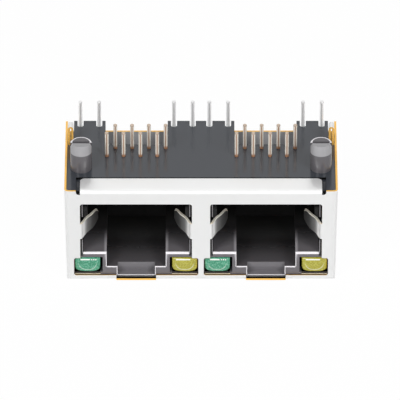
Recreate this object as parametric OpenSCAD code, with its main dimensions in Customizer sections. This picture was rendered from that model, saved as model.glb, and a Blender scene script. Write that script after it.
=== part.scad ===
// Two-port shielded jack for modular plugs, with two indicator lamps at each port.
// It lies with its board side up, so its pegs and solder tails point along +Z.
// X runs across the ports, and Y from the port openings to the rear cover.

/* [Ports] */
// Distance between the centres of the two ports
port_pitch = 15.75; // [15.6:0.05:16.6]
// Width of the plug opening in the front plate
window_w = 13.55; // [13.2:0.05:13.6]
// Width of the plug cavity at its mouth, where the spring fingers need room
mouth_w = 12.9; // [12.6:0.05:13.1]
// Width of the plug cavity behind the fingers
plug_w = 11.9; // [11.8:0.05:12.1]
// Height of the plug cavity above its ledges
plug_h = 7.04; // [6.8:0.02:7.2]
// Depth of the plug cavity
plug_depth = 11.3; // [11:0.1:12]
// Depth of the wide mouth of the plug cavity
mouth_depth = 4.3; // [4:0.1:5]
// Width of the channel for the plug's latch
latch_w = 7.16; // [6.8:0.02:7.4]
// Depth of the latch channel below the ledges
latch_step = 2.03; // [1.95:0.01:2.3]
// Width of the finger notch in front of the latch channel
notch_w = 4.54; // [4.2:0.02:4.8]
// Depth of the finger notch below the latch channel
notch_step = 1.26; // [1.1:0.01:1.3]
// How far the finger notch reaches back from the front
notch_depth = 1.06; // [0.8:0.02:1.4]
// Radius of the front edges of the ledges
ledge_round = 0.25; // [0.15:0.01:0.3]
// Radius of the other front edges of a port
edge_round = 0.12; // [0.06:0.01:0.16]

/* [Housing] */
// Wall of the housing under the finger notch
tab_wall = 0.22; // [0.2:0.01:0.4]
// Wall of the housing behind the board face
board_wall = 1.0; // [0.9:0.05:1.3]
// Thickness of the wall at the back of the plug cavity
stop_wall = 1.8; // [1.6:0.1:2.2]
// Depth of the chamber between that wall and the rear of the housing
lead_chamber = 2.45; // [1.9:0.05:2.6]
// Depth at which the housing steps in to clear the rear cover's side flaps
side_step_depth = 10.4; // [10:0.1:10.8]
// Width of the open wells at the rear of the board face
well_w = 7.6; // [7.4:0.05:7.8]
// Depth from the front at which the wells begin
well_depth = 10.53; // [10.3:0.05:10.8]

/* [Pegs] */
// Distance between the two board pegs
peg_span = 29.06; // [28.9:0.02:29.2]
// Depth of the pegs from the front plate
peg_depth = 5.2; // [4.8:0.1:5.8]
// Diameter of a peg
peg_d = 2.6; // [2.4:0.05:2.6]
// Height of a peg above the board face
peg_h = 3.7; // [3.2:0.1:4]
// Width of the slot that splits a peg
peg_slot = 0.4; // [0.3:0.05:0.7]
// Depth of that slot from the tip
peg_slot_depth = 1.5; // [1.1:0.1:1.6]
// Height of the cone at the tip of a peg's front half
peg_cone = 0.4; // [0.3:0.05:0.8]
// Diameter of the cone's flat end
peg_tip_d = 2.2; // [1.7:0.05:2.3]
// Height of the small cone at the tip of a peg's rear half
peg_edge = 0.1; // [0.06:0.01:0.16]

/* [Contacts] */
// Distance between neighbouring contacts
contact_pitch = 1.02; // [1:0.01:1.04]
// Diameter of the contact wire
wire_d = 0.46; // [0.42:0.01:0.48]
// Depth of the front row of solder tails
tail_depth = 7.95; // [7.7:0.01:8.1]
// Distance between the two rows of solder tails
tail_row = 1.78; // [1.7:0.01:1.85]
// Height of the contact tails above the board face
tail_h = 3.34; // [3:0.02:3.6]
// Depth of the nose at which each contact turns back into the cavity
nose_depth = 2.6; // [2.5:0.05:3]
// Bend radius of the nose, on the wire's centre line
nose_r = 0.55; // [0.5:0.01:0.6]
// Bend radius below each solder tail, on the wire's centre line
tail_r = 0.4; // [0.3:0.01:0.44]
// Slope of the spring arm into the plug cavity, in degrees
spring_slope = 22; // [18:1:24]
// Length of the straight spring arm
spring_l = 10.5; // [10:0.1:10.6]
// Thickness of the carrier that holds the contacts
carrier_t = 1.0; // [0.9:0.05:1.2]
// Width of a contact carrier
carrier_w = 10.4; // [10.2:0.05:10.6]
// Depth from the front at which a carrier begins
carrier_depth = 6.6; // [6.2:0.1:6.8]
// Bevel along the upper rear edge of a carrier
carrier_bevel = 1.2; // [1:0.1:1.4]
// Width of the comb slots that guide the free ends of the contacts
comb_slot = 0.62; // [0.56:0.02:0.68]
// Depth of the comb slots
comb_depth = 1.1; // [0.9:0.1:1.3]

/* [Lamps] */
// Width of a lamp
lamp_w = 3.1; // [3:0.02:3.14]
// Height of a lamp
lamp_h = 2.0; // [1.9:0.02:2.1]
// Length of a lamp
lamp_l = 5.5; // [5:0.1:6]
// Distance from a port's centre to the middle of its lamps
lamp_x = 5.9; // [5.86:0.01:5.92]
// Height of the lamps' lower face above the tab side
lamp_z = 1.07; // [1:0.01:1.1]
// Radius of the lamps' lower corners
lamp_r = 0.8; // [0.6:0.05:0.9]
// Thickness of a square lamp lead
lead_t = 0.46; // [0.4:0.01:0.48]
// Distance from a port's centre to the inner lamp lead
lead_x = 4.57; // [4.54:0.01:4.62]
// Distance between the two leads of a lamp
lead_pitch = 2.29; // [2.24:0.01:2.3]
// Distance from the housing's rear to the middle of the lamp leads
lead_inset = 1.0; // [0.8:0.02:1.1]
// Height of the lamp leads above the board face
lead_h = 3.44; // [3:0.02:3.6]
// Bend radius of a lamp lead, on its middle line
lead_r = 0.6; // [0.4:0.05:0.7]

/* [Shield] */
// Thickness of the folded sheet
sheet_t = 0.25; // [0.2:0.01:0.28]
// Outside radius of the folds
fold_r = 0.5; // [0.4:0.02:0.6]
// Metal between a window and the outer face of the side wall
side_rim = 1.88; // [1.84:0.02:2.1]
// How much closer to the middle a side wall stands at the tab side
wall_lean = 0.24; // [0.1:0.01:0.34]
// Distance from the board face to the upper edge of the windows
window_drop = 1.87; // [1.8:0.01:1.96]
// Corner radius of the windows
window_r = 0.3; // [0.2:0.05:0.5]
// Half width of the lamp cut-outs beside each window
lamp_cut = 7.55; // [7.5:0.01:7.6]
// Height of the lower edge of the lamp cut-outs
lamp_cut_low = 0.7; // [0.66:0.02:0.88]
// Height of the upper edge of the lamp cut-outs
lamp_cut_top = 3.21; // [3.21:0.01:3.4]
// Width of the cut that opens each window down to the tab plate
latch_cut = 4.82; // [4.76:0.02:5]
// Width of the strip that is folded over the board face
strip_w = 29.26; // [29:0.02:30]
// How far the folded strip reaches back from the front
strip_depth = 2.9; // [2.6:0.05:3.4]
// Radius of the strip's rear corners
strip_r = 0.6; // [0.4:0.05:0.8]
// Width of the relief cut at each end of the strip's fold
relief_w = 0.5; // [0.4:0.02:0.6]
// Radius of the lower outer corner of that cut
relief_r = 0.38; // [0.2:0.02:0.4]

/* [Spring fingers] */
// Height of a spring finger
finger_h = 2.14; // [1.8:0.02:2.4]
// Distance from the board face to the upper edge of a finger
finger_drop = 4.74; // [4.5:0.02:5]
// Radius of the finger's free corners
finger_r = 0.8; // [0.6:0.05:0.9]
// Angle through which a finger is bent back at its root
finger_turn = 68; // [64:1:70]
// Depth of the recess in the housing beside a finger's root
finger_room = 1.9; // [1.7:0.1:2.4]
// How far that recess reaches above a finger
finger_above = 0.85; // [0.6:0.05:0.9]
// How far it reaches below a finger
finger_below = 0.3; // [0.2:0.05:0.4]

/* [Rear cover] */
// Distance from the board face to the upper edge of the rear plate
cover_drop = 1.66; // [1.5:0.02:1.8]
// Depth from the front at which the side flaps begin
flap_depth = 10.7; // [10.6:0.1:11]
// Distance from the board face to the upper edge of the side flaps
flap_drop = 0.7; // [0.5:0.1:1]
// Width of a ground leg, along the side wall
leg_w = 1.2; // [1:0.05:1.4]
// Height of a ground leg above the board face
leg_h = 2.4; // [2:0.1:2.8]
// How far the folded end of a ground leg stops above the board face
leg_gap = 0.45; // [0.3:0.05:0.6]
// Bend radius inside the folded end of a ground leg
leg_r = 0.08; // [0.06:0.01:0.1]
// Length of the locking boss on each side flap
lock_l = 2.0; // [1.6:0.1:2.4]
// Height of the locking boss
lock_h = 1.2; // [1:0.1:1.6]

/* [Clearances] */
// Between the sheet and the housing
sheet_gap = 0.05; // [0.03:0.01:0.08]
// Between the folded strip's rear edge and the board face
strip_gap = 0.2; // [0.1:0.02:0.3]
// Between the housing and the rear cover
rear_gap = 0.15; // [0.1:0.01:0.2]
// Round each contact and carrier in the housing
fit_gap = 0.03; // [0.02:0.005:0.04]
// Beside each lamp in its pocket
lamp_gap = 0.1; // [0.06:0.01:0.12]
// Round the lamp leads in their tunnels and notches
tunnel_gap = 0.14; // [0.1:0.01:0.16]

/* [Hidden] */
$fn = 48;
port_names = ["left", "right"];
lamp_names = ["green", "yellow"];
contact_count = 8;

// Cutting tools run past the faces that they open by this much
over = 1;

// Levels above the tab side
notch_z = sheet_t + sheet_gap + tab_wall;
latch_z = notch_z + notch_step;
ledge_z = latch_z + latch_step;
ceiling_z = ledge_z + plug_h;
plate_z = ceiling_z + carrier_t;
board_z = plate_z + board_wall;

// Depths from the outer face of the front plate, and the same places in Y
housing_front = sheet_t + sheet_gap;
stop_depth = housing_front + plug_depth;
chamber_depth = stop_depth + stop_wall;
housing_rear = chamber_depth + lead_chamber;
shell_d = housing_rear + rear_gap + sheet_t;
front_y = -shell_d / 2;
function at_depth(depth) = front_y + depth;

// The shield's width at the board side, and the slope of its side walls
shell_w = port_pitch + window_w + 2 * side_rim;
lean_angle = atan(wall_lean / board_z);
skin = sheet_t + sheet_gap;

// A ground leg starts this far below the upper edge of a flap, and its folded end comes closest
// to the middle at leg_inner_x, just clear of the housing behind its side steps
leg_root = 0.4;
leg_below = flap_drop + leg_root;
leg_root_x = shell_w / 2 - skin - sheet_t / 2 - leg_below * tan(lean_angle);
leg_fold = leg_r + sheet_t / 2;
leg_inner_x = leg_root_x - 2 * leg_fold - sheet_t / 2;
side_step = shell_w / 2 - leg_inner_x + fit_gap;
corner_cut = fold_r - sheet_t;
strip_bed = board_z - skin;

port_x = [-port_pitch / 2, port_pitch / 2];
lead_depth = housing_rear - lead_inset;
lamp_mid_z = lamp_z + lamp_h / 2;
wire_z = ceiling_z + carrier_t / 2;
groove_w = wire_d + 2 * fit_gap;
lamp_low = lamp_z - lamp_gap;
lamp_top = lamp_z + lamp_h + lamp_gap;
finger_z = board_z - finger_drop - finger_h;
lock_z = (board_z + ledge_z) / 2;
lock_depth = (flap_depth + housing_rear) / 2;

function contact_x(k) = (k - (contact_count + 1) / 2) * contact_pitch;
function contact_tail(k) = tail_depth + (k % 2 == 1 ? 0 : tail_row);

// A box between two depths and two levels, centred on x
module depth_box(x, w, depth_a, depth_b, z_a, z_b)
    translate([x - w / 2, at_depth(depth_a), z_a])
        cube([w, depth_b - depth_a, z_b - z_a]);

// A front view outline, drawn in X and Z, pushed back from one depth to another
module push_back(depth_a, depth_b)
    translate([0, at_depth(depth_b), 0])
        rotate([90, 0, 0])
            linear_extrude(depth_b - depth_a)
                children();

// A side view outline, drawn as depth and level, centred on x
module push_across(x, w)
    translate([x - w / 2, front_y, 0])
        rotate([90, 0, 90])
            linear_extrude(w)
                children();

module both_sides()
    for (side = [0, 1])
        mirror([side, 0, 0])
            children();

module rounded_box(x_a, x_b, z_a, z_b, r) {
    translate([x_a + r, z_a])
        square([x_b - x_a - 2 * r, z_b - z_a]);
    translate([x_a, z_a + r])
        square([x_b - x_a, z_b - z_a - 2 * r]);
    for (x = [x_a + r, x_b - r], z = [z_a + r, z_b - r])
        translate([x, z])
            circle(r);
}

// A flat strip that is bent as it goes. Each step is [run, turn, radius]: a straight run, and
// then a bend of that many degrees to the left about that radius on the strip's middle line.
bend_step = 15;
function bend_points(p, a, turn, r) =
    let (n = ceil(abs(turn) / bend_step), s = sign(turn), c = p + s * r * [-sin(a), cos(a)])
    [for (i = [1 : 1 : n]) let (b = a + turn * i / n) [c - s * r * [-sin(b), cos(b)], b]];
function strip_path(steps, p, a, i = 0) =
    i == len(steps) ? [[p, a]] :
    let (q = p + steps[i][0] * [cos(a), sin(a)], bend = bend_points(q, a, steps[i][1], steps[i][2]))
    let (last = len(bend) == 0 ? [q, a] : bend[len(bend) - 1])
    concat([[p, a]], len(bend) == 0 ? [] : concat([[q, a]], [for (j = [0 : 1 : len(bend) - 2]) bend[j]]),
        strip_path(steps, last[0], last[1], i + 1));
module bent_strip(steps, start, angle, t) {
    path = strip_path(steps, start, angle);
    left = [for (v = path) v[0] + t / 2 * [-sin(v[1]), cos(v[1])]];
    right = [for (i = [len(path) - 1 : -1 : 0]) path[i][0] - t / 2 * [-sin(path[i][1]), cos(path[i][1])]];
    polygon(concat(left, right));
}

// Half of the shield in plan, moved in by inset, with the fold between front plate and side wall
module plan_half(inset, end) {
    r = fold_r - inset;
    translate([-shell_w, fold_r])
        square([shell_w - inset, end - fold_r]);
    translate([-shell_w, inset])
        square([shell_w - fold_r, end - inset]);
    translate([-fold_r, fold_r])
        circle(r);
}

// The same for the rear cover, whose fold lies between rear plate and side flap
module cover_half(inset) {
    back = inset - sheet_gap - sheet_t;
    r = fold_r - back;
    translate([-shell_w, 0])
        square([shell_w - inset, shell_d - fold_r]);
    translate([-shell_w, 0])
        square([shell_w - inset - r, shell_d - back]);
    translate([-inset - r, shell_d - fold_r])
        circle(r);
}

// Both halves of an outline, raised along the leaning side walls
module leaning_block()
    for (side = [0, 1])
        mirror([side, 0, 0])
            intersection() {
                translate([shell_w / 2, front_y, board_z])
                    rotate([0, lean_angle, 0])
                        translate([0, 0, -2 * board_z])
                            linear_extrude(3 * board_z)
                                children();
                translate([0, front_y - over, -over])
                    cube([shell_w, shell_d + 2 * over, board_z + 2 * over]);
            }

// The shield's side outline: front plate, fold and tab plate, moved in by inset
module shell_side(inset, top_z) {
    r = fold_r - inset;
    translate([fold_r, inset])
        square([shell_d + over - fold_r, top_z - inset]);
    translate([inset, fold_r])
        square([shell_d + over - inset, top_z - fold_r]);
    translate([fold_r, fold_r])
        circle(r);
}

module shield_form(inset, top_z)
    intersection() {
        leaning_block()
            plan_half(inset, shell_d + (inset > 0 ? over : 0));
        push_across(0, 2 * shell_w)
            shell_side(inset, top_z);
    }

module window_outline(x) {
    top = board_z - window_drop;
    rounded_box(x - window_w / 2, x + window_w / 2, lamp_cut_low, top, window_r);
    rounded_box(x - lamp_cut, x + lamp_cut, lamp_cut_low, lamp_cut_top, window_r);
    translate([x - latch_cut / 2, sheet_t])
        square([latch_cut, lamp_cut_low]);
}

// One spring finger in plan, from the edge of a window at x = 0 towards the port's middle: a
// tight bend at its root, and then a shallow bow up to its free end
finger_root = 0.1;
finger_steps = [[0.12, finger_turn, 0.16], [1.25, -13, 1.2], [0.95, 9, 1.5], [1.4, 0, 0]];
module finger_plan()
    bent_strip(finger_steps, [-finger_root, sheet_t / 2], 0, sheet_t);

module spring_finger()
    intersection() {
        translate([0, front_y, finger_z])
            linear_extrude(finger_h)
                finger_plan();
        push_back(-over, mouth_depth + over)
            rounded_box(-window_w / 4, finger_reach, finger_z, finger_z + finger_h, finger_r);
    }
finger_end = let (path = strip_path(finger_steps, [-finger_root, sheet_t / 2], 0)) path[len(path) - 1];
finger_reach = finger_end[0][0] + sheet_t / 2;

module strip_outline() {
    half = strip_w / 2;
    translate([-half, fold_r])
        square([strip_w, strip_depth - strip_r - fold_r]);
    translate([-half + strip_r, fold_r])
        square([strip_w - 2 * strip_r, strip_depth - fold_r]);
    for (x = [-half + strip_r, half - strip_r])
        translate([x, strip_depth - strip_r])
            circle(strip_r);
}

module folded_strip() {
    translate([0, front_y, board_z - sheet_t])
        linear_extrude(sheet_t)
            strip_outline();
    push_across(0, strip_w)
        intersection() {
            translate([fold_r, board_z - fold_r])
                difference() {
                    circle(fold_r);
                    circle(fold_r - sheet_t);
                }
            translate([0, board_z - fold_r])
                square(fold_r);
        }
}

// The side walls stop where the folds of the rear cover begin
module front_shell() color("gainsboro") {
    fold_clear = strip_w + 2 * relief_w;
    difference() {
        shield_form(0, board_z);
        shield_form(sheet_t, board_z + over);
        for (x = port_x)
            push_back(-over, fold_r + sheet_t)
                window_outline(x);
        push_back(-over, fold_r)
            rounded_box(-fold_clear / 2, fold_clear / 2, board_z - fold_r, board_z + over, relief_r);
        depth_box(0, 2 * shell_w, shell_d - fold_r, shell_d + over, skin, board_z + over);
        both_sides() {
            translate([shell_w / 2 - wall_lean - skin, at_depth(fold_r + sheet_t), -over])
                cube([sheet_gap, shell_d, over + sheet_t]);
            lock_window();
        }
    }
    folded_strip();
    for (x = port_x) {
        translate([x, 0, 0])
            both_sides()
                translate([-window_w / 2, 0, 0])
                    spring_finger();
        depth_box(x, latch_cut, 0, fold_r + sheet_t, 0, sheet_t);
    }
}

// The hole in each side wall that the rear cover's boss snaps into
module lock_window()
    translate([
        shell_w / 2 - wall_lean - 2 * sheet_t,
        at_depth(lock_depth - lock_l / 2 - fit_gap),
        lock_z - lock_h / 2 - fit_gap])
        cube([wall_lean + 3 * sheet_t, lock_l + 2 * fit_gap, lock_h + 2 * fit_gap]);

// The rear cover stands inside the side walls, and a flap and a leg are folded from each side
module rear_cover() color("gainsboro") {
    intersection() {
        difference() {
            leaning_block()
                cover_half(skin);
            leaning_block()
                cover_half(skin + sheet_t);
        }
        union() {
            push_back(flap_depth, shell_d + over)
                translate([-shell_w, skin])
                    square([2 * shell_w, board_z - cover_drop - skin]);
            push_back(flap_depth, flap_depth + leg_w)
                translate([-shell_w, skin])
                    square([2 * shell_w, board_z - flap_drop - skin]);
        }
    }
    both_sides() {
        ground_leg();
        lock_boss();
    }
}

// A ground leg rises from a flap and is folded back inwards
module ground_leg() {
    rise = leg_below + leg_h - sheet_t / 2 - leg_fold;
    drop = leg_h - leg_gap - leg_fold;
    translate([0, at_depth(flap_depth + leg_w), 0])
        rotate([90, 0, 0])
            linear_extrude(leg_w)
                bent_strip(
                    [[rise, 180, leg_fold], [drop, 0, 0]], [leg_root_x, board_z - leg_below], 90, sheet_t);
}

// The boss is pressed out of the flap, and stands halfway into the side wall's window
module lock_boss()
    intersection() {
        translate([
            shell_w / 2 - wall_lean - 3 * sheet_t,
            at_depth(lock_depth - lock_l / 2),
            lock_z - lock_h / 2])
            cube([wall_lean + 3 * sheet_t, lock_l, lock_h]);
        difference() {
            leaning_block()
                cover_half(sheet_t / 2);
            leaning_block()
                cover_half(skin + sheet_t / 2);
        }
    }

// The opening of a port in front view, from its ledges down to the finger notch
function mouth_outline() = [
    [-mouth_w / 2, ceiling_z], [-mouth_w / 2, ledge_z], [-latch_w / 2, ledge_z],
    [-latch_w / 2, latch_z], [-notch_w / 2, latch_z], [-notch_w / 2, notch_z],
    [notch_w / 2, notch_z], [notch_w / 2, latch_z], [latch_w / 2, latch_z],
    [latch_w / 2, ledge_z], [mouth_w / 2, ledge_z], [mouth_w / 2, ceiling_z]];

// Cuts the rounded front edge of each side of that opening
module mouth_rounding() {
    p = mouth_outline();
    for (i = [0 : len(p) - 2]) {
        run = p[i + 1] - p[i];
        on_ledge = p[i][1] == ledge_z && p[i + 1][1] == ledge_z;
        r = on_ledge ? ledge_round : edge_round;
        translate([p[i][0], at_depth(housing_front), p[i][1]])
            rotate([0, -atan2(run[1], run[0]), 0])
                rotate([90, 0, 90])
                    linear_extrude(norm(run))
                        difference() {
                            translate([-r, -r])
                                square(2 * r);
                            translate([r, -r])
                                circle(r);
                        }
    }
}

module port_cavity(x) {
    front = housing_front - over;
    depth_box(x, mouth_w, front, housing_front + mouth_depth, ledge_z, ceiling_z);
    depth_box(x, plug_w, front, stop_depth, ledge_z, ceiling_z);
    depth_box(x, latch_w, front, stop_depth, latch_z, ledge_z + fit_gap);
    depth_box(x, notch_w, front, housing_front + notch_depth, notch_z, latch_z + fit_gap);
    depth_box(x, window_w + 2 * fit_gap, front, housing_front + finger_room,
        finger_z - finger_below, finger_z + finger_h + finger_above);
    translate([x, 0, 0])
        mouth_rounding();
}

// Room for a carrier: under the board wall, and through the wall behind the plug cavity
module carrier_room(x) {
    w = carrier_w + 2 * fit_gap;
    depth_box(x, w, carrier_depth - fit_gap, housing_rear + over, ceiling_z, plate_z);
    depth_box(x, w, stop_depth - fit_gap, housing_rear + over, ledge_z, plate_z);
    depth_box(x, well_w, well_depth, housing_rear + over, plate_z - fit_gap, board_z + over);
}

module contact_room(x)
    for (k = [1 : contact_count]) {
        depth_box(x + contact_x(k), groove_w, nose_depth - nose_r - wire_d / 2 - fit_gap,
            carrier_depth, ceiling_z - fit_gap, wire_z + wire_d / 2 + fit_gap);
        translate([x + contact_x(k), at_depth(contact_tail(k)), plate_z - fit_gap])
            cylinder(d = groove_w, h = board_wall + over);
    }

// A pocket for each lamp, a tunnel for its leads, and the notches where the leads stand up
module lamp_room(x)
    for (side = [-1, 1]) {
        w = lamp_w + lamp_gap + lead_t / 2;
        mid = side * (lamp_x - lead_t / 4);
        tunnel_w = lead_pitch + lead_t + 2 * tunnel_gap;
        tunnel_x = side * (lead_x + lead_pitch / 2);
        depth_box(x + mid, w, housing_front - over, housing_front + lamp_l, lamp_low, lamp_top);
        depth_box(x + tunnel_x, tunnel_w, housing_front, housing_rear + over, lamp_low, lamp_top);
        for (lead = [lead_x, lead_x + lead_pitch])
            lead_notch(x + side * lead);
    }

module lead_notch(x) {
    w = lead_t + 2 * tunnel_gap;
    translate([x, at_depth(lead_depth), lamp_mid_z]) {
        cylinder(d = w, h = board_z);
        translate([-w / 2, 0, 0])
            cube([w, lead_inset + over, board_z]);
    }
}

// A peg is solid up to its slot. The front half of its split end has a long cone, which leads
// it into the board, and the rear half has a short one.
module board_peg() {
    split_z = peg_h - peg_slot_depth;
    cylinder(d = peg_d, h = split_z);
    for (half = [[180, peg_cone, peg_tip_d], [0, peg_edge, peg_d - 2 * peg_edge]])
        rotate(half[0])
            intersection() {
                union() {
                    cylinder(d = peg_d, h = peg_h - half[1]);
                    translate([0, 0, peg_h - half[1]])
                        cylinder(d1 = peg_d, d2 = half[2], h = half[1]);
                }
                translate([-peg_d, peg_slot / 2, 0])
                    cube([2 * peg_d, peg_d, peg_h]);
            }
}

// Half of the housing in plan, from the outer face of a side wall at x = 0: just inside the wall
// in front, and stepped in behind for the rear cover's flaps
module housing_half()
    polygon([
        [-shell_w, housing_front], [-skin - corner_cut, housing_front],
        [-skin, housing_front + corner_cut], [-skin, side_step_depth],
        [-side_step, side_step_depth], [-side_step, housing_rear], [-shell_w, housing_rear]]);

module housing() color("dimgray") {
    difference() {
        intersection() {
            leaning_block()
                housing_half();
            depth_box(0, 2 * shell_w, 0, shell_d, skin, board_z);
        }
        push_across(0, shell_w)
            polygon([
                [housing_front - over, skin - over], [housing_front + corner_cut + over, skin - over],
                [housing_front - over, skin + corner_cut + over]]);
        push_across(0, strip_w + 2 * relief_w)
            polygon([
                [housing_front - over, board_z + over], [strip_depth + strip_gap, board_z + over],
                [strip_depth + strip_gap, strip_bed], [housing_front + corner_cut, strip_bed],
                [housing_front - over, strip_bed - corner_cut - over]]);
        for (x = port_x) {
            port_cavity(x);
            carrier_room(x);
            contact_room(x);
            lamp_room(x);
        }
    }
    both_sides()
        translate([peg_span / 2, at_depth(peg_depth), board_z])
            board_peg();
}

// Each carrier is a plate under the board wall and a comb wall behind the plug cavity
module carrier(port) color("dimgray") {
    x = port_x[port];
    top = plate_z - fit_gap;
    low = ledge_z + fit_gap;
    difference() {
        push_across(x, carrier_w)
            polygon([
                [carrier_depth, ceiling_z], [carrier_depth, top], [stop_depth, top],
                [chamber_depth, top - carrier_bevel], [chamber_depth, low], [stop_depth, low],
                [stop_depth, ceiling_z]]);
        for (k = [1 : contact_count]) {
            slot_end = contact_tail(k) + wire_d / 2 + fit_gap;
            depth_box(x + contact_x(k), groove_w, carrier_depth - over, slot_end,
                wire_z - wire_d / 2 - fit_gap, plate_z + over);
            depth_box(x + contact_x(k), comb_slot, stop_depth - over, stop_depth + comb_depth,
                low + latch_step / 2, ceiling_z - carrier_t / 2);
        }
    }
}

// One contact: solder tail, bend, run along the board wall, nose, and spring arm. Where the arm
// leaves the nose, a ball that is barely thicker than the wire joins the two.
bead = 0.008;
module wire_run(depth, z, angle, length)
    translate([0, at_depth(depth), z])
        rotate([angle, 0, 0])
            cylinder(d = wire_d, h = length);

module wire_bend(depth, z, r, from, turn)
    translate([0, at_depth(depth), z])
        rotate([90, 0, 90])
            rotate([0, 0, from])
                rotate_extrude(angle = turn)
                    translate([r, 0])
                        circle(d = wire_d);

module contact(port, k) color("goldenrod") {
    tail = contact_tail(k);
    turn = 180 - spring_slope;
    end_depth = nose_depth - nose_r * sin(spring_slope);
    end_z = wire_z - nose_r - nose_r * cos(spring_slope);
    translate([port_x[port] + contact_x(k), 0, 0]) {
        wire_run(tail, wire_z + tail_r, 0, board_z + tail_h - wire_z - tail_r);
        wire_bend(tail - tail_r, wire_z + tail_r, tail_r, -90, 90);
        wire_run(nose_depth, wire_z, -90, tail - tail_r - nose_depth);
        wire_bend(nose_depth, wire_z - nose_r, nose_r, 90, turn);
        wire_run(end_depth, end_z, -90 - spring_slope, spring_l);
        translate([0, at_depth(end_depth), end_z])
            sphere(d = wire_d + 2 * bead);
    }
}

module lamp(port, which) color(which == 0 ? "mediumseagreen" : "khaki") {
    side = which == 0 ? -1 : 1;
    x = port_x[port] + side * lamp_x;
    push_back(housing_front - sheet_t / 2, housing_front - sheet_t / 2 + lamp_l)
        difference() {
            rounded_box(x - lamp_w / 2, x + lamp_w / 2, lamp_z, lamp_z + lamp_h + lamp_r, lamp_r);
            translate([x - lamp_w, lamp_z + lamp_h])
                square([2 * lamp_w, lamp_r + over]);
        }
}

module lamp_lead(port, which, end) color("silver") {
    side = which == 0 ? -1 : 1;
    x = port_x[port] + side * (lead_x + end * lead_pitch);
    start = housing_front - sheet_t / 2 + lamp_l;
    push_across(x, lead_t)
        bent_strip(
            [[lead_depth - lead_r - start, 90, lead_r], [board_z + lead_h - lamp_mid_z - lead_r, 0, 0]],
            [start, lamp_mid_z], 0, lead_t);
}

housing();
front_shell();
rear_cover();
for (port = [0, 1]) {
    carrier(port);
    for (k = [1 : contact_count])
        contact(port, k);
    for (lamp = [0, 1]) {
        name = str(port_names[port], "_", lamp_names[lamp]);
        lamp(port, lamp);
        lamp_lead(port, lamp, 0);
        lamp_lead(port, lamp, 1);
    }
}
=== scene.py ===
"""Looks of a shielded jack with two ports, which lies board side up on a pale surface."""
import math

import bmesh
import bpy
from mathutils import Matrix, Vector
from mathutils.bvhtree import BVHTree


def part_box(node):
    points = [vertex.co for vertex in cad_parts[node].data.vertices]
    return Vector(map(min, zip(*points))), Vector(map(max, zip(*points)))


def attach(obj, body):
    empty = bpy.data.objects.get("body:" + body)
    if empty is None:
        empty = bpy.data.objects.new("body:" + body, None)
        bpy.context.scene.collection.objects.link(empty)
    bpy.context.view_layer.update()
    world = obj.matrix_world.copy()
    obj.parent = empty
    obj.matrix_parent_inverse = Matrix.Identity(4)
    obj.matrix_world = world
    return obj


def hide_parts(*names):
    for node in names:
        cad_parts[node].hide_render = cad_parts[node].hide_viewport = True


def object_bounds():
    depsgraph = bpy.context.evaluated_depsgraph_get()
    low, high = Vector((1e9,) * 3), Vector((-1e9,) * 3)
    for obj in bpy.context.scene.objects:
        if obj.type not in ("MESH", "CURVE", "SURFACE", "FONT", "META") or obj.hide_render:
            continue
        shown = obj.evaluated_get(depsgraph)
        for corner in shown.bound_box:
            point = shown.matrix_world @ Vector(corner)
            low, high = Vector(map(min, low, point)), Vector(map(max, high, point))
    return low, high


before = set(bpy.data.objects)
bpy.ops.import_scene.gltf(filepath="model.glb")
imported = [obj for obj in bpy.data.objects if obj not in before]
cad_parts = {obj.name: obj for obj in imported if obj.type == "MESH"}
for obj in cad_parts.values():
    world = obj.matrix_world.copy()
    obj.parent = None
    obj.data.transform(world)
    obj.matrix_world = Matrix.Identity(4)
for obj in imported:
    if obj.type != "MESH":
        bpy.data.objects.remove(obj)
frame_low, frame_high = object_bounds()
MM = 0.001

# Camera
# The jack is seen from above its port openings, from so far off that it shows hardly any
# perspective. The aim is a point on the front plate.
CAMERA_ELEVATION = math.radians(33.1)
CAMERA_DISTANCE = 1.0
CAMERA_LENS = 745
camera_aim = Vector((-0.127 * MM, frame_low.y, 11.62 * MM))
camera_back = Vector((0, -math.cos(CAMERA_ELEVATION), math.sin(CAMERA_ELEVATION)))
camera = bpy.data.objects.new("camera", bpy.data.cameras.new("camera"))
bpy.context.scene.collection.objects.link(camera)
camera.data.lens = CAMERA_LENS
camera.data.clip_start = 0.1
camera.data.clip_end = 10
camera.location = camera_aim + camera_back * CAMERA_DISTANCE
camera.rotation_euler = (math.pi / 2 - CAMERA_ELEVATION, 0, 0)
bpy.context.scene.camera = camera
bpy.context.scene.view_settings.view_transform = "Standard"

# Studio
# A white sweep that also shows in the metal and the gloss. Two lamps beside the lens reach into
# the ports, a long lamp above lights the board side, and a small one behind draws a bright line
# along the shield's fold.
SWEEP_WHITE = 1.0
SKY_FILL = 0.22
FLOOR_COLOUR = (0.95, 0.95, 0.95, 1)
FLOOR_GLOW = 0.97
FLOOR_REACH = 3.0


def combine(tree, operation, first, second=0):
    """One Math node over two values, each a number or another node's output."""
    node = tree.nodes.new("ShaderNodeMath")
    node.operation = operation
    for socket, value in zip(node.inputs, (first, second)):
        if isinstance(value, (int, float)):
            socket.default_value = value
        else:
            tree.links.new(value, socket)
    return node.outputs[0]


def seen_directly(tree):
    """One where a ray comes from the camera, a reflection or clear plastic, and zero elsewhere."""
    rays = tree.nodes.new("ShaderNodeLightPath").outputs
    either = combine(tree, "MAXIMUM", rays["Is Camera Ray"], rays["Is Glossy Ray"])
    return combine(tree, "MAXIMUM", either, rays["Is Transmission Ray"])


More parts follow.
